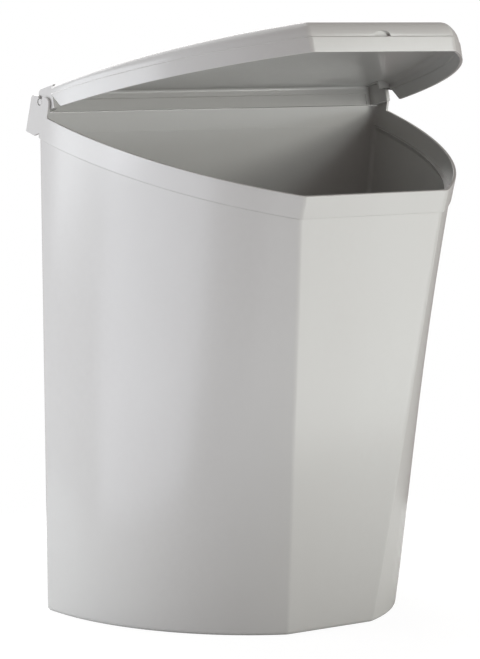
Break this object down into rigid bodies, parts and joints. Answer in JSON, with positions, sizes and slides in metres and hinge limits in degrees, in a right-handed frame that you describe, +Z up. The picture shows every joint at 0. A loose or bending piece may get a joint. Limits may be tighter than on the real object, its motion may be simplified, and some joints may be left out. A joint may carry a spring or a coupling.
{
  "type": "hanging waste bin with hinged lid",
  "caption": "Wedge-fronted plastic waste bin with a flap lid hinged at the back, which stands or hangs from a lip.",
  "frame": {"origin": "middle of the base's underside", "axes": "+X along the back wall, -Y towards the front facet, +Z up"},
  "size_m": [0.28, 0.1801, 0.3817],
  "materials": {
    "body_plastic": "satin light grey",
    "lid_plastic": "satin light grey",
    "pin_plastic": "satin light grey"
  },
  "bodies": {
    "bin": {"bin_body": "body_plastic"},
    "lid": {"lid_shell": "lid_plastic", "hinge_pin_left": "pin_plastic", "hinge_pin_right": "pin_plastic"}
  },
  "joints": [
    {"name": "lid_hinge", "type": "hinge", "parent": "bin", "child": "lid", "pos_m": [0, 0.05668, 0.32702], "axis": [-1, 0, 0], "range_deg": [-29.5, 78.5]}
  ]
}
